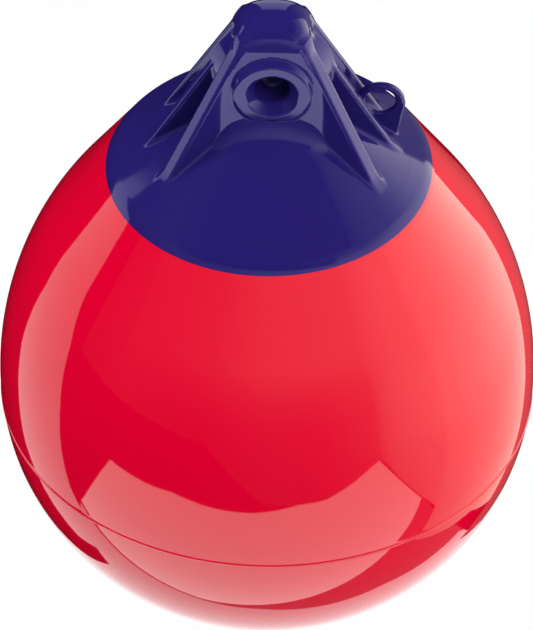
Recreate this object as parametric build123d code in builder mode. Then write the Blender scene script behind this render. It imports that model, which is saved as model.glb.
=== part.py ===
from build123d import *
import os
from math import cos, hypot, radians, sin, sqrt, tan

# Round inflatable marker buoy, mm. Origin on the axis at the waterline, +Z to the rope head,
# the front of the rope eye faces -Y.

# float
body_radius = 101.5
draught = 47.0
shoulder_bulge = 31.5
cone_angle = 32.8
cap_radius = 61.5
knuckle_radius = 15.0
dome_angle = 34.2
flat_radius = 10.0
wall = 2.6
bead_drop = 10.5
bead_width = 1.8
bead_height = 0.35

# rope head, heights above the cap line
skirt = 4.0
bond_gap = 0.2
tower_rise = 78.2
tower_round = 11.6
tower_draft = 5.5
tower_half_width = 14.3
tower_flat = 1.3
arch_lift = 1.0
tower_edge = 2.0
tower_fillet = 8.0

# rope eye
eye_rise = 49.4
throat_radius = 6.5
throat_length = 24.0
mouth_radius = 10.3
boss_face = 16.0
boss_face_radius = 14.2
boss_base_radius = 15.6
boss_step = 2.4

# ribs, each from a top point beside the tower to a foot on the dome, in from the cap line
corner_rib_inset = 0.5
corner_rib_front = 7.8
corner_rib_turn = 28.5
corner_rib_margin = 16.3
corner_rib_rise = 66.2
corner_rib_width = 6.2
side_rib_proud = 0.6
side_rib_margin = 14.5
side_rib_rise = 66.9
side_rib_width = 5.2
rib_edge = 0.7
web_sink = 1.0

# lanyard lug behind the right side rib
lug_margin = 20.9
lug_rise = 25.8
lug_radius = 9.3
lug_hole = 5.3
lug_hole_lift = 1.0
lug_back = 8.0
lug_depth = 4.2
lug_edge = 1.1
lug_taper = 2.3

# inflation valve at the back of the head
valve_margin = 18.5
flange_radius = 9.0
flange_height = 2.2
seat_depth = 1.6
stem_radius = 5.8
stem_length = 13.0
valve_bore = 3.1
valve_gap = 0.2
washer_radius = 5.0
washer_height = 1.0
plug_radius = 5.4
plug_height = 2.6
plug_shank = 9.0
plug_edge = 0.5
slot_width = 1.6
slot_depth = 1.2

os.makedirs("parts", exist_ok=True)

# outline of the float and the head, tangent arcs and lines about the equator
equator = body_radius - draught
shoulder_radius = body_radius + shoulder_bulge
crown_angle = 90 - dome_angle
shoulder_x = body_radius - shoulder_radius
cone_foot_x = shoulder_x + shoulder_radius * cos(radians(cone_angle))
cone_foot_z = shoulder_radius * sin(radians(cone_angle))
cone_run = (cone_foot_x - cap_radius) / sin(radians(cone_angle))
cap_z = cone_foot_z + cone_run * cos(radians(cone_angle))
knuckle_x = cap_radius - knuckle_radius * cos(radians(cone_angle))
knuckle_z = cap_z - knuckle_radius * sin(radians(cone_angle))
dome_foot_x = knuckle_x + knuckle_radius * cos(radians(crown_angle))
dome_foot_z = knuckle_z + knuckle_radius * sin(radians(crown_angle))
tower_top = cap_z + tower_rise
eye_height = cap_z + eye_rise
valve_radius = cap_radius - valve_margin
lug_offset = cap_radius - lug_margin
tower_corner = tower_half_width - tower_flat
corner_rib_out = tower_half_width - corner_rib_inset
side_rib_out = tower_half_width + side_rib_proud
liner = skirt + bond_gap
inner_radius = body_radius - wall


def at(x, z):
    return (x, equator + z)


def dome_height(radius):
    return dome_foot_z + (dome_foot_x - radius) * tan(radians(dome_angle))


def on_ball(drop, proud):
    return at(sqrt(body_radius**2 - drop**2) + proud, -drop)


def on_shoulder(turn, inset):
    reach = shoulder_radius - inset
    return at(shoulder_x + reach * cos(radians(turn)), reach * sin(radians(turn)))


def on_knuckle(turn, inset):
    reach = knuckle_radius - inset
    return at(knuckle_x + reach * cos(radians(turn)), knuckle_z + reach * sin(radians(turn)))


def on_dome(radius, inset):
    x = radius - inset * cos(radians(crown_angle))
    return at(x, dome_height(radius) - inset * sin(radians(crown_angle)))


def on_cone(down, inset):
    x = cap_radius + down * sin(radians(cone_angle)) - inset * cos(radians(cone_angle))
    return at(x, cap_z - down * cos(radians(cone_angle)) - inset * sin(radians(cone_angle)))


middle_shoulder = cone_angle / 2
middle_knuckle = (cone_angle + crown_angle) / 2
lower_x = cos(radians(45))
valve_plane = Plane(
    origin=(0, on_dome(valve_radius, seat_depth)[0], on_dome(valve_radius, seat_depth)[1]),
    x_dir=(1, 0, 0),
    z_dir=(0, cos(radians(crown_angle)), sin(radians(crown_angle))),
)
eye_axis = Axis((0, 0, equator + eye_height), (0, 1, 0))

# Red float: one closed vinyl skin, stepped under the cap so the head lies flush.
with BuildPart() as float_body:
    with BuildSketch(Plane.XZ) as float_section:
        with BuildLine() as float_line:
            ThreePointArc(
                at(0, -body_radius),
                at(body_radius * lower_x, -body_radius * lower_x),
                on_ball(bead_drop + bead_width / 2, 0),
            )
            # mould line just below the widest ring
            Polyline(
                on_ball(bead_drop + bead_width / 2, 0),
                on_ball(bead_drop + bead_width / 6, bead_height),
                on_ball(bead_drop - bead_width / 6, bead_height),
                on_ball(bead_drop - bead_width / 2, 0),
            )
            ThreePointArc(
                on_ball(bead_drop - bead_width / 2, 0),
                on_ball(bead_drop / 2, 0),
                at(body_radius, 0),
            )
            ThreePointArc(at(body_radius, 0), on_shoulder(middle_shoulder, 0), on_shoulder(cone_angle, 0))
            Line(on_shoulder(cone_angle, 0), on_cone(0, 0))
            Line(on_cone(0, 0), on_knuckle(cone_angle, liner))
            ThreePointArc(
                on_knuckle(cone_angle, liner),
                on_knuckle(middle_knuckle, liner),
                on_knuckle(crown_angle, liner),
            )
            Line(on_knuckle(crown_angle, liner), on_dome(flat_radius, liner))
            Line(on_dome(flat_radius, liner), (0, on_dome(flat_radius, liner)[1]))
            Line((0, on_dome(flat_radius, liner)[1]), (0, on_dome(flat_radius, liner + wall)[1]))
            Line((0, on_dome(flat_radius, liner + wall)[1]), on_dome(flat_radius, liner + wall))
            Line(on_dome(flat_radius, liner + wall), on_knuckle(crown_angle, liner + wall))
            ThreePointArc(
                on_knuckle(crown_angle, liner + wall),
                on_knuckle(middle_knuckle, liner + wall),
                on_knuckle(cone_angle, liner + wall),
            )
            Line(on_knuckle(cone_angle, liner + wall), on_cone(cone_run / 3, wall))
            Line(on_cone(cone_run / 3, wall), on_shoulder(cone_angle, wall))
            ThreePointArc(
                on_shoulder(cone_angle, wall),
                on_shoulder(middle_shoulder, wall),
                at(inner_radius, 0),
            )
            ThreePointArc(
                at(inner_radius, 0),
                at(inner_radius * lower_x, -inner_radius * lower_x),
                at(0, -inner_radius),
            )
            Line(at(0, -inner_radius), at(0, -body_radius))
        make_face()
    revolve(axis=Axis.Z)
    with BuildSketch(valve_plane) as float_valve_hole:
        Circle(stem_radius + valve_gap)
    extrude(amount=stem_length, both=True, mode=Mode.SUBTRACT)
float_body.part.label = "float_body"
export_step(float_body.part, "parts/float_body.step")

# Rope tower: the side view and the front view cut into one another.
round_z = tower_top - tower_round
face_x = tower_round * cos(radians(tower_draft))
face_z = round_z + tower_round * sin(radians(tower_draft))
root_z = dome_height(dome_foot_x)
foot_x = face_x + (face_z - root_z) * tan(radians(tower_draft))


def face_at(z):
    return face_x + (equator + face_z - z) * tan(radians(tower_draft))


with BuildPart() as tower_sides:
    with BuildSketch(Plane.YZ) as tower_side:
        with BuildLine() as tower_side_line:
            ThreePointArc(at(-face_x, face_z), at(0, tower_top), at(face_x, face_z))
            Line(at(face_x, face_z), at(foot_x, root_z))
            Line(at(foot_x, root_z), at(-foot_x, root_z))
            Line(at(-foot_x, root_z), at(-face_x, face_z))
        make_face()
    extrude(amount=cap_radius - corner_rib_margin, both=True)

with BuildPart() as tower:
    with BuildSketch(Plane.XZ) as tower_front:
        with BuildLine() as tower_front_line:
            FilletPolyline(
                at(tower_half_width, root_z),
                at(tower_half_width, tower_top + arch_lift),
                at(-tower_half_width, tower_top + arch_lift),
                at(-tower_half_width, root_z),
                radius=tower_corner,
            )
            Line(at(-tower_half_width, root_z), at(tower_half_width, root_z))
        make_face()
    extrude(amount=foot_x, both=True)
    add(tower_sides.part, mode=Mode.INTERSECT)
    rims = tower.edges().filter_by(lambda edge: edge.center().Z > equator + root_z + tower_corner)
    fillet(rims.filter_by(Axis.X, reverse=True), tower_edge)


def rib_run(out, front, turn, margin):
    along = out * cos(radians(turn)) + front * sin(radians(turn))
    return sqrt(along**2 - out**2 - front**2 + (cap_radius - margin) ** 2) - along


def rib_plane(out, front, turn):
    go_x = cos(radians(turn))
    go_y = sin(radians(turn))
    return Plane(origin=(out, -front, 0), x_dir=(go_x, -go_y, 0), z_dir=(-go_y, -go_x, 0))


def rib_outline(out, run, margin, rise, sink):
    foot = dome_height(cap_radius - margin) - sink
    top = cap_z + rise - sink
    return [
        at(-out / 2, root_z),
        at(-out / 2, top),
        at(0, top),
        at(run, foot),
        at(run, foot - skirt),
    ]


def crests(part):
    leaning = part.edges().filter_by(lambda edge: 0.2 < edge.tangent_at(0.5).Z ** 2 < 0.9)
    return leaning.group_by(SortBy.LENGTH)[-1]


# Ribs lean from the tower down to the dome, one at each corner and one on each side.
corner_run = rib_run(corner_rib_out, corner_rib_front, corner_rib_turn, corner_rib_margin)
corner_plane = rib_plane(corner_rib_out, corner_rib_front, corner_rib_turn)
with BuildPart() as corner_ribs:
    with BuildSketch(corner_plane) as corner_rib_shape:
        with BuildLine() as corner_rib_line:
            outline = rib_outline(corner_rib_out, corner_run, corner_rib_margin, corner_rib_rise, 0)
            Polyline(*outline, close=True)
        make_face()
    extrude(amount=corner_rib_width / 2, both=True)
    fillet(crests(corner_ribs), rib_edge)
    mirror(about=Plane.YZ)
    mirror(about=Plane.XZ)

side_run = rib_run(side_rib_out, 0, 0, side_rib_margin)
with BuildPart() as side_ribs:
    with BuildSketch(rib_plane(side_rib_out, 0, 0)) as side_rib_shape:
        with BuildLine() as side_rib_line:
            outline = rib_outline(side_rib_out, side_run, side_rib_margin, side_rib_rise, 0)
            Polyline(*outline, close=True)
        make_face()
    extrude(amount=side_rib_width / 2, both=True)
    fillet(crests(side_ribs), rib_edge)
    mirror(about=Plane.YZ)

# Webs carry the front and back faces of the tower out to the corner ribs.
with BuildPart() as webs:
    with BuildSketch(corner_plane) as web_shape:
        with BuildLine() as web_line:
            outline = rib_outline(corner_rib_out, corner_run, corner_rib_margin, corner_rib_rise, web_sink)
            Polyline(*outline, close=True)
        make_face()
    extrude(amount=foot_x)
    add(tower_sides.part, mode=Mode.INTERSECT)
    mirror(about=Plane.YZ)
    mirror(about=Plane.XZ)

# Lanyard lug: a pierced tongue that stands on the dome.
lug_z = cap_z + lug_rise
lug_foot = dome_height(lug_offset + lug_radius)
with BuildPart() as lug:
    with BuildSketch(Plane.XZ.offset(-lug_back)) as lug_shape:
        with Locations(at(lug_offset, lug_z)):
            Circle(lug_radius)
        with BuildLine() as lug_sides:
            Polyline(
                at(lug_offset - lug_radius, lug_z),
                at(lug_offset + lug_radius, lug_z),
                at(lug_offset + lug_radius - lug_taper, lug_foot - skirt / 2),
                at(lug_offset - lug_radius, lug_foot - skirt / 2),
                close=True,
            )
        make_face()
    extrude(amount=lug_depth / 2, both=True)
    rims = lug.edges().filter_by(lambda edge: edge.center().Z > equator + lug_foot)
    fillet(rims.filter_by(Axis.Y, reverse=True), lug_edge)
    with BuildSketch(Plane.XZ.offset(-lug_back)) as lug_eye:
        with Locations(at(lug_offset, lug_z + lug_hole_lift)):
            Circle(lug_hole)
    extrude(amount=lug_depth, both=True, mode=Mode.SUBTRACT)

# Blue rope head: dome, tower, ribs and lug moulded as one piece, with the rope eye through it.
half_throat = throat_length / 2
reach = 2 * boss_face
with BuildPart() as rope_head:
    with BuildSketch(Plane.XZ) as dome_section:
        with BuildLine() as dome_line:
            ThreePointArc(on_cone(0, 0), on_knuckle(middle_knuckle, 0), on_knuckle(crown_angle, 0))
            Line(on_knuckle(crown_angle, 0), on_dome(flat_radius, 0))
            Line(on_dome(flat_radius, 0), (0, on_dome(flat_radius, 0)[1]))
            Line((0, on_dome(flat_radius, 0)[1]), (0, on_dome(flat_radius, skirt)[1]))
            Line((0, on_dome(flat_radius, skirt)[1]), on_dome(flat_radius, skirt))
            Line(on_dome(flat_radius, skirt), on_knuckle(crown_angle, skirt))
            ThreePointArc(
                on_knuckle(crown_angle, skirt),
                on_knuckle(middle_knuckle, skirt),
                on_knuckle(cone_angle, skirt),
            )
            Line(on_knuckle(cone_angle, skirt), on_cone(0, 0))
        make_face()
    revolve(axis=Axis.Z)
    add(tower.part)
    add(webs.part)
    # the faces of the tower run out onto the dome
    seams = rope_head.edges().filter_by(
        lambda edge: abs(abs(edge.center().Y) - face_at(edge.center().Z)) < bond_gap
        and edge.center().Z > on_dome(hypot(edge.center().X, edge.center().Y), skirt / 2)[1]
        and edge.geom_type == GeomType.HYPERBOLA
    )
    fillet(seams, tower_fillet)
    add(corner_ribs.part)
    add(side_ribs.part)
    add(lug.part)
    # bosses round the two mouths of the rope eye
    with BuildSketch(Plane.YZ) as boss_section:
        with BuildLine() as boss_line:
            Polyline(
                at(-boss_face, eye_height),
                at(-boss_face, eye_height + boss_face_radius),
                at(-boss_face + boss_step, eye_height + boss_base_radius),
                at(boss_face - boss_step, eye_height + boss_base_radius),
                at(boss_face, eye_height + boss_face_radius),
                at(boss_face, eye_height),
                close=True,
            )
        make_face()
    revolve(axis=eye_axis)
    with BuildSketch(Plane.YZ) as eye_section:
        with BuildLine() as eye_line:
            Polyline(
                at(-reach, eye_height),
                at(-reach, eye_height + mouth_radius),
                at(-boss_face, eye_height + mouth_radius),
                at(-half_throat, eye_height + throat_radius),
                at(half_throat, eye_height + throat_radius),
                at(boss_face, eye_height + mouth_radius),
                at(reach, eye_height + mouth_radius),
                at(reach, eye_height),
                close=True,
            )
        make_face()
    revolve(axis=eye_axis, mode=Mode.SUBTRACT)
    # nothing moulded hangs below the underside of the skirt
    with BuildSketch(Plane.XZ) as under_section:
        with BuildLine() as under_line:
            Polyline(
                (0, on_dome(flat_radius, skirt)[1]),
                on_dome(flat_radius, skirt),
                on_knuckle(crown_angle, skirt),
                at(knuckle_x, cap_z - 4 * skirt),
                at(0, cap_z - 4 * skirt),
                close=True,
            )
        make_face()
    revolve(axis=Axis.Z, mode=Mode.SUBTRACT)
    with BuildSketch(valve_plane) as head_seat:
        Circle(flange_radius + valve_gap)
    extrude(amount=flange_height + seat_depth, mode=Mode.SUBTRACT)
    with BuildSketch(valve_plane) as head_valve_hole:
        Circle(stem_radius + valve_gap)
    extrude(amount=stem_length, both=True, mode=Mode.SUBTRACT)
rope_head.part.label = "rope_head"
export_step(rope_head.part, "parts/rope_head.step")

# Valve bush: flange in the seat of the head, stem through both skins.
with BuildPart() as valve_bush:
    with BuildSketch(valve_plane) as bush_flange:
        Circle(flange_radius)
    extrude(amount=flange_height)
    with BuildSketch(valve_plane) as bush_stem:
        Circle(stem_radius)
    extrude(amount=-stem_length)
    with BuildSketch(valve_plane) as bush_bore:
        Circle(valve_bore)
    extrude(amount=stem_length + flange_height, both=True, mode=Mode.SUBTRACT)
valve_bush.part.label = "valve_bush"
export_step(valve_bush.part, "parts/valve_bush.step")

with BuildPart() as valve_washer:
    with BuildSketch(valve_plane.offset(flange_height)) as washer_ring:
        Circle(washer_radius)
        Circle(valve_bore, mode=Mode.SUBTRACT)
    extrude(amount=washer_height)
valve_washer.part.label = "valve_washer"
export_step(valve_washer.part, "parts/valve_washer.step")

with BuildPart() as valve_plug:
    with BuildSketch(valve_plane.offset(flange_height + washer_height)) as plug_head:
        Circle(plug_radius)
    extrude(amount=plug_height)
    fillet(valve_plug.edges().filter_by(GeomType.CIRCLE).sort_by(Axis.Z)[-1], plug_edge)
    with BuildSketch(valve_plane.offset(flange_height + washer_height)) as plug_stem:
        Circle(valve_bore - valve_gap)
    extrude(amount=-plug_shank)
    with BuildSketch(valve_plane.offset(flange_height + washer_height + plug_height)) as plug_slot:
        Rectangle(3 * plug_radius, slot_width)
    extrude(amount=-slot_depth, mode=Mode.SUBTRACT)
valve_plug.part.label = "valve_plug"
export_step(valve_plug.part, "parts/valve_plug.step")
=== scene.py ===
import math

import bpy
import numpy as np
from mathutils import Matrix, Vector


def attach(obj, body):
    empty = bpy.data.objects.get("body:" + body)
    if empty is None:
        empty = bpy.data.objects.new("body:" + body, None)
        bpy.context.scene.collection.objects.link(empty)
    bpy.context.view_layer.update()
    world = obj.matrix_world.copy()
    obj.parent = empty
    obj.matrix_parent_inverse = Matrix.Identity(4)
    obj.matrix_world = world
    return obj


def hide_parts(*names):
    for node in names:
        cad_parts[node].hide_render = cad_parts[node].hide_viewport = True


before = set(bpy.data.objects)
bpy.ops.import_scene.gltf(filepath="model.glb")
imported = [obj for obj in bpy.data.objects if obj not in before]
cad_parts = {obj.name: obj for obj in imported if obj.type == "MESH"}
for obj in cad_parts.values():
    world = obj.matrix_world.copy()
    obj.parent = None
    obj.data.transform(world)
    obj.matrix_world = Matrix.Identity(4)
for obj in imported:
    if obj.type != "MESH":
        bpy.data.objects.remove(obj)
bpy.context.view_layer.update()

# All lengths are in mm. The shapes are drawn from the float's widest ring, the stage from the waterline.
mm = 0.001
equator = 54.5  # the widest ring above the waterline


def linear(hexText):
    parts = [int(hexText[i:i + 2], 16) / 255 for i in (1, 3, 5)]
    return tuple(p / 12.92 if p <= 0.04045 else ((p + 0.055) / 1.055) ** 2.4 for p in parts) + (1.0,)


def addNode(tree, kind, settings=None, links=None):
    node = tree.nodes.new(kind)
    for key, value in (settings or {}).items():
        if isinstance(key, str) and hasattr(node, key):
            setattr(node, key, value)
        else:
            node.inputs[key].default_value = value
    for key, source in (links or {}).items():
        tree.links.new(source, node.inputs[key])
    return node


def plastic(name, values):
    material = bpy.data.materials.new(name)
    material.use_nodes = True
    tree = material.node_tree
    shader = tree.nodes["Principled BSDF"]
    shader.inputs["Base Color"].default_value = linear(values["colour"])
    shader.inputs["Roughness"].default_value = values["roughness"]
    shader.inputs["IOR"].default_value = values["ior"]
    if "glossTint" in values:
        shader.inputs["Specular Tint"].default_value = linear(values["glossTint"])
    if "waveWidth" in values:
        place = addNode(tree, "ShaderNodeTexCoord")
        waves = addNode(tree, "ShaderNodeTexNoise", {"Scale": 1 / (values["waveWidth"] * mm), "Detail": 1.0},
                        {"Vector": place.outputs["Object"]})
        bump = addNode(tree, "ShaderNodeBump", {"Strength": 1.0, "Distance": values["waveHeight"] * mm},
                       {"Height": waves.outputs["Fac"]})
        tree.links.new(bump.outputs["Normal"], shader.inputs["Normal"])
    return material


def addPiece(name, vertices, faces, normals=None):
    mesh = bpy.data.meshes.new(name)
    placed = (vertices + np.array([0, 0, equator])) * mm
    mesh.from_pydata(placed.tolist(), [], faces.tolist())
    mesh.shade_smooth()
    if normals is not None:
        mesh.normals_split_custom_set_from_vertices(normals.tolist())
    piece = bpy.data.objects.new(name, mesh)
    bpy.context.collection.objects.link(piece)
    return piece


def arc(centre, radius, start, end, count):
    turns = np.linspace(start, end, count)
    return [(centre[0] + radius * math.cos(t), centre[1] + radius * math.sin(t)) for t in turns]


def lathe(profile, segments):
    turns = np.linspace(0, 2 * math.pi, segments, endpoint=False)
    ring = np.array(profile)
    vertices = np.stack([
        ring[:, :1] * np.cos(turns), ring[:, :1] * np.sin(turns),
        np.repeat(ring[:, 1:], segments, axis=1),
    ], axis=2).reshape(-1, 3)
    rowStarts = np.arange(len(ring) - 1)[:, None] * segments
    low = rowStarts + np.arange(segments)
    nextLow = rowStarts + (np.arange(segments) + 1) % segments
    faces = np.stack([low, nextLow, nextLow + segments, low + segments], axis=2).reshape(-1, 4)
    return vertices, faces


# Red float: a ball below, a longer arc and a cone above, and a fine mould line.
floatOf = {
    "bodyRadius": 101.5, "shoulderRadius": 133.0, "coneAngle": 32.8, "capRadius": 61.5,
    "knuckleRadius": 15.0, "domeAngle": 34.2, "skirt": 4.0,
    "beadDrop": 10.5, "beadWidth": 0.9, "beadHeight": 0.3,
    "tuckGap": 0.06, "tuckTurns": (0.02, 0.2),  # the skin runs in under the blue rim, turns in radians
    "poleGap": 0.004, "bodyRows": 181, "beadRows": 13, "shoulderRows": 60, "tuckRows": 8, "segments": 256,
    "coneShares": (0.02, 0.1, 0.25, 0.5, 0.75, 0.9, 0.97, 0.99, 1.0),
}

# Rotomoulded vinyl: a mirror-like skin with the faint waves of the mould, red right through.
redSkin = {"colour": "#D6002D", "roughness": 0.04, "ior": 1.53, "glossTint": "#FFF6EA",
           "waveWidth": 24.0, "waveHeight": 0.02}


def outlineOf(values):
    body, shoulder = values["bodyRadius"], values["shoulderRadius"]
    cone, crown = math.radians(values["coneAngle"]), math.radians(90 - values["domeAngle"])
    knuckle, cap = values["knuckleRadius"], values["capRadius"]
    shoulderX = body - shoulder
    coneFoot = (shoulderX + shoulder * math.cos(cone), shoulder * math.sin(cone))
    capZ = coneFoot[1] + (coneFoot[0] - cap) / math.tan(cone)
    knuckleAt = (cap - knuckle * math.cos(cone), capZ - knuckle * math.sin(cone))
    return {
        "shoulderX": shoulderX, "knuckle": knuckleAt, "cone": cone, "crown": crown, "capZ": capZ,
        "domeRadius": knuckleAt[0] + knuckle * math.cos(crown),
        "domeZ": knuckleAt[1] + knuckle * math.sin(crown),
    }


shape = outlineOf(floatOf)


def floatProfile(values):
    body, drop, width = values["bodyRadius"], values["beadDrop"], values["beadWidth"]
    bowl = arc((0, 0), body, values["poleGap"] - math.pi / 2, 0, values["bodyRows"])
    beads = np.linspace(-drop - width, -drop + width, values["beadRows"])
    profile = []
    for height in np.unique(np.concatenate([[z for _, z in bowl], beads])):
        near = abs(height + drop) / width
        lift = values["beadHeight"] * max(0.0, 1 - near * near) ** 2
        scale = (body + lift) / body
        profile.append((math.sqrt(body * body - height * height) * scale, height * scale))
    knuckle, cone = values["knuckleRadius"], shape["cone"]
    shoulder = arc((shape["shoulderX"], 0), values["shoulderRadius"], 0, cone, values["shoulderRows"])
    coneFoot, capLine = shoulder[-1], (values["capRadius"], shape["capZ"])
    cap = [tuple(a + (b - a) * t for a, b in zip(coneFoot, capLine)) for t in values["coneShares"]]
    start, end = values["tuckTurns"]
    tuck = arc(shape["knuckle"], knuckle - values["tuckGap"], cone + start, cone + end, values["tuckRows"])
    lip = arc(shape["knuckle"], knuckle - values["skirt"], cone + end, cone, 2)
    return profile[:-1] + shoulder + cap + tuck + lip


vertices, faces = lathe(floatProfile(floatOf), floatOf["segments"])
ball = addPiece("floatSkin", vertices, faces)
ball.data.materials.append(plastic("redVinylRotomoulded", redSkin))
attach(ball, "root")
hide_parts("float_body")
print("float", len(faces))


# Blue rope head: tower, ribs, bosses and eyelet are blended as distance fields and meshed in one skin.
headOf = {
    "towerTop": 181.5, "towerRound": 13.1, "towerDraft": 4.5, "towerHalfWidth": 14.1, "towerCorner": 12.8,
    "towerEdge": 2.2, "towerTopEdge": 8.0, "towerEdgeSpan": (160, 174),  # the edge grows over these heights
    "frontBlend": 6.0, "footBlend": 1.8, "footSpan": (14, 24),  # the foot fades from front to side
    "cornerRib": {"start": (14.0, 9.3), "end": (40.4, 22.4), "top": 168.8, "width": 6.2, "web": True},
    "sideRib": {"start": (14.9, 0.0), "end": (46.6, 0.0), "top": 168.1, "width": 4.4, "web": False},
    "ribEdge": 1.3, "ribCap": 3.0, "webSink": 1.0,
    "ribBlend": 0.8, "ribRootBlend": 1.5, "ribRootSpan": (163, 169),  # softer where the ribs leave the tower
    "eyeHeight": 150.6, "throatRadius": 6.5, "throatHalf": 12.0, "throatBlend": 0.6,
    "mouthRadius": 9.8, "mouthEdge": 0.35,
    "bossFace": 16.3, "bossFaceRadius": 14.2, "bossBaseRadius": 15.6, "bossStep": 2.4,
    "bossEdge": 0.5, "bossBlend": 0.6, "bossFoot": 138.6,
    "lugAt": (40.6, 127.0), "lugRadius": 9.3, "lugFoot": (47.6, 113.0), "lugLean": 0.17,
    "lugHoleAt": (40.6, 128.0), "lugHole": 5.8, "lugBack": 8.8, "lugDepth": 2.6,
    "lugJoin": 0.5, "lugEdge": 0.9, "lugBlend": 0.8,
    "cell": 0.6, "margin": 2.0, "underMargin": 1.0, "domeNear": 0.6, "settleRounds": 4,
    "rimRadius": 53.0, "rimOverlap": 1.2, "overlapEdge": 0.7, "overlapDip": 0.04,
    "rimRows": 12, "bendRows": 16, "rimSlide": 1.2, "rimLift": 0.04,
}

# Injection-moulded vinyl: thicker and a little duller than the float.
blueSkin = {"colour": "#231963", "roughness": 0.09, "ior": 1.57, "glossTint": "#CCCBFF",
            "waveWidth": 16.0, "waveHeight": 0.015}


def roundMax(a, b, radius):
    inside = np.minimum(np.maximum(a + radius, b + radius), 0)
    return inside + np.hypot(np.maximum(a + radius, 0), np.maximum(b + radius, 0)) - radius


def roundMin(a, b, radius):
    return -roundMax(-a, -b, radius)


def ramp(value, start, end):
    share = np.clip((value - start) / (end - start), 0, 1)
    return share * share * (3 - 2 * share)


def domeHeight(radius):
    return shape["domeZ"] + math.tan(math.radians(floatOf["domeAngle"])) * (shape["domeRadius"] - radius)


def domeField(x, y, z):
    return (z - domeHeight(np.hypot(x, y))) * math.sin(shape["crown"])


def towerFields(ax, ay, z):
    v = headOf
    draft = math.radians(v["towerDraft"])
    roundZ = v["towerTop"] - v["towerRound"]
    faceY, faceZ = v["towerRound"] * math.cos(draft), roundZ + v["towerRound"] * math.sin(draft)
    along = (ay - faceY) * math.sin(draft) - (z - faceZ) * math.cos(draft)
    flat = (ay - faceY) * math.cos(draft) + (z - faceZ) * math.sin(draft)
    face = np.where(along < 0, np.hypot(ay, z - roundZ) - v["towerRound"], flat)
    arch = roundMax(ax - v["towerHalfWidth"], z - v["towerTop"], v["towerCorner"])
    edge = v["towerEdge"] + (v["towerTopEdge"] - v["towerEdge"]) * ramp(z, *v["towerEdgeSpan"])
    return face, roundMax(face, arch, edge)


def ribFields(rib, ax, ay, z):
    (startX, startY), (endX, endY) = rib["start"], rib["end"]
    run = math.hypot(endX - startX, endY - startY)
    drop = rib["top"] - domeHeight(math.hypot(endX, endY))
    goX, goY = (endX - startX) / run, (endY - startY) / run
    along = (ax - startX) * goX + (ay - startY) * goY
    across = (ax - startX) * goY - (ay - startY) * goX
    crest = (along * drop + (z - rib["top"]) * run) / math.hypot(drop, run)
    crest = np.maximum(crest, z - rib["top"] - headOf["ribCap"])
    plate = roundMax(crest, np.abs(across) - rib["width"] / 2, headOf["ribEdge"])
    return across, crest, plate


def lugField(x, y, z):
    v = headOf
    (atX, atZ), (footX, footZ), (holeX, holeZ) = v["lugAt"], v["lugFoot"], v["lugHoleAt"]
    disc = np.hypot(x - atX, z - atZ) - v["lugRadius"]
    tongue = np.maximum(x - footX - (z - footZ) * v["lugLean"], z - atZ)
    tongue = np.maximum(tongue, atX - v["lugRadius"] - x)
    thick = np.abs(y - v["lugBack"]) - v["lugDepth"] / 2
    pierced = v["lugHole"] - np.hypot(x - holeX, z - holeZ)
    plate = roundMax(roundMin(disc, tongue, v["lugJoin"]), thick, v["lugEdge"])
    return roundMax(plate, pierced, v["lugEdge"])


def bossField(bore, ay, z):
    v = headOf
    flare = v["bossBaseRadius"] - v["bossFaceRadius"]
    flank = (bore - v["bossFaceRadius"]) * v["bossStep"] + (ay - v["bossFace"]) * flare
    flank = flank / math.hypot(v["bossStep"], flare)
    boss = roundMax(flank, ay - v["bossFace"], v["bossEdge"])
    return np.maximum(boss, v["bossFoot"] - z)  # the ring ends where the foot begins


def throatField(bore, ay):
    v = headOf
    depth = v["bossFace"] - v["throatHalf"]
    flare = v["mouthRadius"] - v["throatRadius"]
    funnel = ((bore - v["mouthRadius"]) * depth - (ay - v["bossFace"]) * flare) / math.hypot(depth, flare)
    return roundMin(bore - v["throatRadius"], funnel, v["throatBlend"])


def headField(points):
    v = headOf
    x, y, z = points[..., 0], points[..., 1], points[..., 2]
    ax, ay = np.abs(x), np.abs(y)  # all but the eyelet is the same on both sides
    face, solid = towerFields(ax, ay, z)
    for rib in (v["cornerRib"], v["sideRib"]):
        across, crest, plate = ribFields(rib, ax, ay, z)
        if rib["web"]:
            web = np.maximum(np.maximum(face, across), crest + v["webSink"])
            solid = np.minimum(solid, web)
        solid = roundMin(solid, plate, v["ribBlend"] + v["ribRootBlend"] * ramp(z, *v["ribRootSpan"]))
    foot = v["footBlend"] + (v["frontBlend"] - v["footBlend"]) * (1 - ramp(ax, *v["footSpan"]))
    solid = roundMin(solid, domeField(x, y, z), foot)
    solid = roundMin(solid, lugField(x, y, z), v["lugBlend"])
    bore = np.hypot(x, z - v["eyeHeight"])
    solid = roundMin(solid, bossField(bore, ay, z), v["bossBlend"])
    return roundMax(solid, -throatField(bore, ay), v["mouthEdge"])


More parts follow.
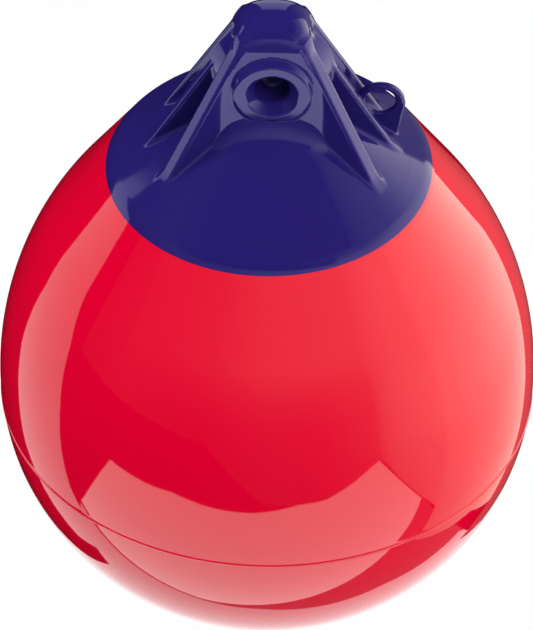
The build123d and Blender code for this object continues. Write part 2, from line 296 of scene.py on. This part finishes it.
def surfaceOf(field, low, high, cell, slabs=12):
    # one vertex in each cell that the surface crosses, one quad round each grid edge that it crosses
    axes = [np.arange(a, b + cell, cell) for a, b in zip(low, high)]
    grid = np.stack(np.meshgrid(*axes, indexing="ij"), axis=-1)
    inside = np.concatenate([field(slab) for slab in np.array_split(grid, slabs)]) < 0
    nx, ny, nz = (n - 1 for n in inside.shape)
    corners = [(i, j, k) for i in (0, 1) for j in (0, 1) for k in (0, 1)]
    count = sum(inside[i:i + nx, j:j + ny, k:k + nz].astype(np.int8) for i, j, k in corners)
    cells = (count > 0) & (count < len(corners))
    index = np.full(cells.shape, -1)
    index[cells] = np.arange(cells.sum())
    vertices = np.argwhere(cells) * cell + np.array([a[0] for a in axes]) + cell / 2
    quads = []
    for axis in range(3):
        a, b = [n for n in range(3) if n != axis]
        first = np.moveaxis(inside, axis, 0)
        change = np.argwhere(first[:-1] != first[1:])
        flip = first[:-1][tuple(change.T)]
        spot = np.zeros((len(change), 3), int)
        spot[:, axis], spot[:, a], spot[:, b] = change.T
        keep = (spot[:, a] > 0) & (spot[:, a] < inside.shape[a] - 1)
        keep &= (spot[:, b] > 0) & (spot[:, b] < inside.shape[b] - 1)
        spot, flip = spot[keep], flip[keep]
        around = []
        for da, db in ((-1, -1), (0, -1), (0, 0), (-1, 0)):
            near = spot.copy()
            near[:, a] += da
            near[:, b] += db
            around.append(index[tuple(near.T)])
        quad = np.stack(around, axis=1)
        turned = flip if axis != 1 else ~flip
        quad[~turned] = quad[~turned][:, ::-1]
        quads.append(quad)
    return vertices, np.concatenate(quads)


def gradientOf(field, points, step=0.02):
    slopes = []
    for axis in range(3):
        shift = np.zeros(3)
        shift[axis] = step
        slopes.append((field(points + shift) - field(points - shift)) / (2 * step))
    return np.stack(slopes, axis=-1)


def settle(field, points, rounds, leastSlope=0.2, longestStep=0.5):
    # slides the vertices onto the surface
    for _ in range(rounds):
        slope = gradientOf(field, points)
        size = np.maximum((slope * slope).sum(axis=1), leastSlope)
        points = points - slope * np.clip(field(points) / size, -longestStep, longestStep)[:, None]
    return points


def headBody():
    v = headOf
    edge = v["rimRadius"] + v["margin"]
    low = (-edge, -edge, domeHeight(edge * math.sqrt(2)) - v["underMargin"])
    high = (edge, edge, v["towerTop"] + v["margin"])
    vertices, faces = surfaceOf(headField, low, high, v["cell"])
    vertices = settle(headField, vertices, v["settleRounds"])
    # the dome beyond the rim radius is left to the lathed rim
    centres = vertices[faces].mean(axis=1)
    onDome = np.abs(domeField(*centres.T)) < v["domeNear"]
    beyond = np.hypot(centres[:, 0], centres[:, 1]) > v["rimRadius"]
    used, faces = np.unique(faces[~(onDome & beyond)], return_inverse=True)
    vertices, faces = vertices[used], faces.reshape(-1, 4)
    slope = gradientOf(headField, vertices)
    return vertices, faces, slope / np.linalg.norm(slope, axis=1, keepdims=True)


def headRim():
    v, cone, crown, segments = headOf, shape["cone"], shape["crown"], floatOf["segments"]
    knuckleX, knuckleZ = shape["knuckle"]
    knuckle = floatOf["knuckleRadius"]
    radii = np.linspace(v["rimRadius"] - v["rimOverlap"], shape["domeRadius"], v["rimRows"])
    line = [(r, domeHeight(r)) for r in radii]
    bend = arc(shape["knuckle"], knuckle, crown, cone, v["bendRows"])
    rim = (line[:-1] + bend)[::-1]
    vertices, faces = lathe(rim, segments)
    # the real rim's lower edge is not square to the head, so the lowest rows slide along the outline
    rows = np.repeat(np.arange(len(rim)), segments)
    slideRows = v["bendRows"] - 1
    slide = v["rimSlide"] * vertices[:, 0] / floatOf["capRadius"] * np.clip(1 - rows / slideRows, 0, 1)
    radius = np.hypot(vertices[:, 0], vertices[:, 1])
    turn = np.arctan2(vertices[:, 2] - knuckleZ, radius - knuckleX) + slide / knuckle
    past = np.maximum(cone - turn, 0) * knuckle
    turn = np.maximum(turn, cone)
    lifted = knuckle + v["rimLift"]
    newRadius = knuckleX + lifted * np.cos(turn) + past * math.sin(cone)
    newHeight = knuckleZ + lifted * np.sin(turn) - past * math.cos(cone)
    bent = rows < slideRows
    vertices[bent, :2] *= (newRadius / radius)[bent, None]
    vertices[bent, 2] = newHeight[bent]
    radius = np.hypot(vertices[:, 0], vertices[:, 1])
    tilt = np.clip(np.arctan2(vertices[:, 2] - knuckleZ, radius - knuckleX), cone, crown)
    normals = np.stack([
        vertices[:, 0] / radius * np.cos(tilt), vertices[:, 1] / radius * np.cos(tilt), np.sin(tilt),
    ], axis=1)
    # its innermost row dips under the head's body
    dip = np.where(radius < v["rimRadius"] - v["overlapEdge"], v["overlapDip"], 0.0)
    return vertices - normals * dip[:, None], faces, normals


bodyVertices, bodyFaces, bodyNormals = headBody()
rimVertices, rimFaces, rimNormals = headRim()
vertices = np.concatenate([bodyVertices, rimVertices])
faces = np.concatenate([bodyFaces, rimFaces + len(bodyVertices)])
head = addPiece("ropeHead", vertices, faces, np.concatenate([bodyNormals, rimNormals]))
head.data.materials.append(plastic("blueVinylInjected", blueSkin))
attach(head, "root")
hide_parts("rope_head")
print("head", len(faces))


# The valve keeps its CAD nodes.
# Moulded nylon: dense, even and half dull.
nylon = {"colour": "#2B2B2E", "roughness": 0.45, "ior": 1.53}
# Cut sheet rubber: flat black that hardly shines.
rubber = {"colour": "#191919", "roughness": 0.8, "ior": 1.52}

valveNylon = plastic("nylonMoulded", nylon)
washerRubber = plastic("rubberCutSheet", rubber)
for node, material in (("valve_bush", valveNylon), ("valve_washer", washerRubber), ("valve_plug", valveNylon)):
    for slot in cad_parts[node].material_slots:
        slot.material = material
print("valve dressed")


cameraOf = {
    "distance": 6000.0, "elevation": 42.65, "roll": 1.1, "focalPixels": 15772.0, "sensor": 36.0,
    "imageWidth": 533, "imageHeight": 630, "ballAt": (267.0, 364.1), "farthest": 100000.0,
}


def addCamera(values):
    centre = Vector((0, 0, equator * mm))
    lift = math.radians(values["elevation"])
    data = bpy.data.cameras.new("photoCamera")
    camera = bpy.data.objects.new("photoCamera", data)
    bpy.context.collection.objects.link(camera)
    place = centre + Vector((0, -math.cos(lift), math.sin(lift))) * values["distance"] * mm
    turn = (centre - place).to_track_quat("-Z", "Y").to_matrix().to_4x4()
    roll = Matrix.Rotation(math.radians(values["roll"]), 4, "Z")
    camera.matrix_world = Matrix.Translation(place) @ turn @ roll
    longSide = values["imageHeight"]
    data.sensor_width = values["sensor"]
    data.lens = values["focalPixels"] * values["sensor"] / longSide
    data.shift_x = (values["imageWidth"] / 2 - values["ballAt"][0]) / longSide
    data.shift_y = (values["ballAt"][1] - values["imageHeight"] / 2) / longSide
    data.clip_end = values["farthest"] * mm
    bpy.context.scene.camera = camera


bpy.context.scene.view_settings.view_transform = "Standard"
addCamera(cameraOf)
print("camera set")


# World and floor are white to the camera and to the gloss, and plain light and paper to the rest.
worldOf = {"fill": 0.8}
floorOf = {"height": -920.0, "reach": 6000.0, "colour": "#E8E8E8", "whiteShare": 0.97}


def whiteShare(tree, share):
    path = addNode(tree, "ShaderNodeLightPath")
    seen = addNode(tree, "ShaderNodeMath", {"operation": "MAXIMUM"},
                   {0: path.outputs["Is Camera Ray"], 1: path.outputs["Is Glossy Ray"]})
    seen = addNode(tree, "ShaderNodeMath", {"operation": "MAXIMUM"},
                   {0: seen.outputs[0], 1: path.outputs["Is Transmission Ray"]})
    return addNode(tree, "ShaderNodeMath", {"operation": "MULTIPLY", 1: share}, {0: seen.outputs[0]}).outputs[0]


def addWorld(values):
    world = bpy.data.worlds.new("studio")
    bpy.context.scene.world = world
    world.use_nodes = True
    tree = world.node_tree
    tree.nodes.clear()
    room = addNode(tree, "ShaderNodeBackground", {"Color": linear("#FFFFFF"), "Strength": values["fill"]})
    white = addNode(tree, "ShaderNodeBackground", {"Color": linear("#FFFFFF"), "Strength": 1.0})
    mix = addNode(tree, "ShaderNodeMixShader", None,
                  {0: whiteShare(tree, 1.0), 1: room.outputs[0], 2: white.outputs[0]})
    addNode(tree, "ShaderNodeOutputWorld", None, {0: mix.outputs[0]})


def addStage(name, corners, faces):
    mesh = bpy.data.meshes.new(name)
    mesh.from_pydata([Vector(c) * mm for c in corners], [], faces)
    sheet = bpy.data.objects.new(name, mesh)
    bpy.context.collection.objects.link(sheet)
    material = bpy.data.materials.new(name)
    material.use_nodes = True
    material.node_tree.nodes.clear()
    mesh.materials.append(material)
    return sheet, material.node_tree


def addFloor(values):
    far, height = values["reach"], values["height"]
    corners = [(x, y, height) for x, y in ((-far, -far), (far, -far), (far, far), (-far, far))]
    _, tree = addStage("paleFloor", corners, [(0, 1, 2, 3)])
    paper = addNode(tree, "ShaderNodeBsdfDiffuse", {"Color": linear(values["colour"])})
    white = addNode(tree, "ShaderNodeEmission", {"Strength": 1.0})
    mix = addNode(tree, "ShaderNodeMixShader", None,
                  {0: whiteShare(tree, values["whiteShare"]), 1: paper.outputs[0], 2: white.outputs[0]})
    addNode(tree, "ShaderNodeOutputMaterial", None, {0: mix.outputs[0]})


addWorld(worldOf)
addFloor(floorOf)
print("world and floor set")


# Flat panels that only the gloss sees: one on the left, the others low over the floor.
panelsOf = {
    "leftPanel": {"strength": 1.32, "corners": [
        (-400, -60, -640), (-400, 195, -640), (-400, 205, -120), (-400, 172, 20),
        (-400, 185, 140), (-400, 250, 365), (-400, 160, 420), (-400, 150, 350),
        (-400, 30, 200), (-400, -30, 60), (-400, -45, -60),
    ]},
    "frontCard": {"strength": 2.35, "corners": [
        (-1000, -90, -900), (-200, -110, -900), (1250, -550, -900), (2400, -2360, -900),
        (820, -2140, -900), (-120, -1840, -900), (-1200, -1640, -900), (-1910, -950, -900),
    ]},
    "gapCard": {"strength": 0.2, "corners": [
        (-1000, -90, -899), (-200, -110, -899), (1250, -550, -899), (1300, 700, -899),
        (580, 320, -899), (370, 50, -899), (0, -100, -899), (-1000, -60, -899),
    ]},
    "backCard": {"strength": 1.35, "corners": [
        (-1000, -60, -900), (0, -100, -900), (370, 50, -900), (580, 320, -900),
        (400, 700, -900), (-400, 700, -900),
    ]},
}


def addPanel(name, values):
    corners = values["corners"]
    sheet, tree = addStage(name, corners, [tuple(range(len(corners)))])
    glow = addNode(tree, "ShaderNodeEmission", {"Strength": values["strength"]})
    addNode(tree, "ShaderNodeOutputMaterial", None, {0: glow.outputs[0]})
    sheet.visible_camera = sheet.visible_diffuse = sheet.visible_shadow = False


# A lit wall from behind on the right, round the front and fading out on the left.
wallOf = {
    "colour": "#FFF8E8", "level": 100.0,
    # x, y, glow, how far it counts as front, lowest row in degrees
    "columns": [
        (225, 900, 0.1, 0.0, -60), (450, 452, 0.35, 0.0, -60), (450, 450, 2.8, 0.0, -52),
        (450, 150, 2.4, 0.0, -52), (450, -150, 1.72, 0.0, -52), (452, -155, 1.5, 0.0, -40),
        (800, -600, 1.3, 0.25, -25), (1150, -1050, 1.2, 0.5, -18), (1500, -1500, 1.05, 0.75, -16),
        (700, -1600, 0.9, 1.0, -25), (0, -1600, 0.75, 1.0, -25), (-700, -1600, 0.4, 1.0, -6),
        (-1350, -1400, 0.3, 0.9, -5), (-1800, -950, 0.27, 0.7, -5), (-1010, -95, 0.1, 0.5, -4),
    ],
    # degrees above level, then the share of the glow on the right and in front
    "rows": [
        (-60, 0.4, 0.0), (-52, 0.45, 0.0), (-40, 0.55, 0.0), (-25, 0.75, 0.12), (-12, 1.1, 0.16),
        (0, 1.2, 0.2), (10, 1.1, 0.4), (20, 1.0, 0.85), (30, 0.85, 1.0), (42, 0.3, 0.4), (55, 0.1, 0.0),
    ],
}


def addSoftWall(values):
    columns, rows = values["columns"], values["rows"]
    corners, levels = [], []
    for lift, sideLevel, frontLevel in rows:
        for x, y, level, front, lowest in columns:
            rise = math.tan(math.radians(max(lift, lowest)))
            corners.append((x, y, values["level"] + math.hypot(x, y) * rise))
            levels.append(level * (sideLevel + (frontLevel - sideLevel) * front))
    count = len(columns)
    faces = [(i, i + 1, i + 1 + count, i + count) for i in range(len(corners) - count) if (i + 1) % count]
    sheet, tree = addStage("softWall", corners, faces)
    sheet.data.attributes.new("glow", "FLOAT", "POINT").data.foreach_set("value", levels)
    level = addNode(tree, "ShaderNodeAttribute", {"attribute_name": "glow"})
    glow = addNode(tree, "ShaderNodeEmission", {"Color": linear(values["colour"])},
                   {"Strength": level.outputs["Fac"]})
    addNode(tree, "ShaderNodeOutputMaterial", None, {0: glow.outputs[0]})
    sheet.visible_camera = False


# Dark felt round the rest of the room, seen by the gloss alone. The back is open between the middle levels.
cardsOf = {
    "colour": "#101010", "levels": (-920.0, 90.0, 920.0, 1400.0),
    "plan": [(-220, 900), (-420, 215), (-1020, -90), (-1930, -950), (-1210, -1650), (-120, -1850),
             (830, -2150), (2410, -2370), (1270, -540), (480, 470), (220, 900)],
}


def addDarkCards(values):
    plan, count = values["plan"], len(values["plan"])
    corners = [(x, y, z) for z in values["levels"] for x, y in plan]
    walls = [(i, i + 1, i + 1 + 3 * count, i + 3 * count) for i in range(count - 1)]
    walls += [(i, i + count - 1, i + 2 * count - 1, i + count) for i in (0, 2 * count)]
    roof = [tuple(range(3 * count, 4 * count))]
    sheet, tree = addStage("darkCards", corners, walls + roof)
    felt = addNode(tree, "ShaderNodeBsdfDiffuse", {"Color": linear(values["colour"])})
    addNode(tree, "ShaderNodeOutputMaterial", None, {0: felt.outputs[0]})
    sheet.visible_camera = sheet.visible_diffuse = sheet.visible_shadow = sheet.visible_transmission = False


# Soft lamps that only light the colour and are not mirrored.
lampsOf = {
    "keyLamp": {"pos": (900, -700, 1100), "size": 900.0, "power": 23.0},
    "fillLamp": {"pos": (-1150, -150, 1050), "size": 900.0, "power": 17.0},
    "lowLamp": {"pos": (-150, -1250, -750), "size": 900.0, "power": 6.5},
}


def addLamp(name, values):
    data = bpy.data.lights.new(name, "AREA")
    data.shape = "RECTANGLE"
    data.size = data.size_y = values["size"] * mm
    data.energy = values["power"]
    lamp = bpy.data.objects.new(name, data)
    bpy.context.collection.objects.link(lamp)
    lamp.location = Vector(values["pos"]) * mm
    lamp.visible_glossy = lamp.visible_camera = False
    aim = Vector((0, 0, equator * mm)) - lamp.location
    lamp.rotation_euler = aim.to_track_quat("-Z", "Y").to_euler()


for name, values in panelsOf.items():
    addPanel(name, values)
addSoftWall(wallOf)
addDarkCards(cardsOf)
for name, values in lampsOf.items():
    addLamp(name, values)
print("studio set")
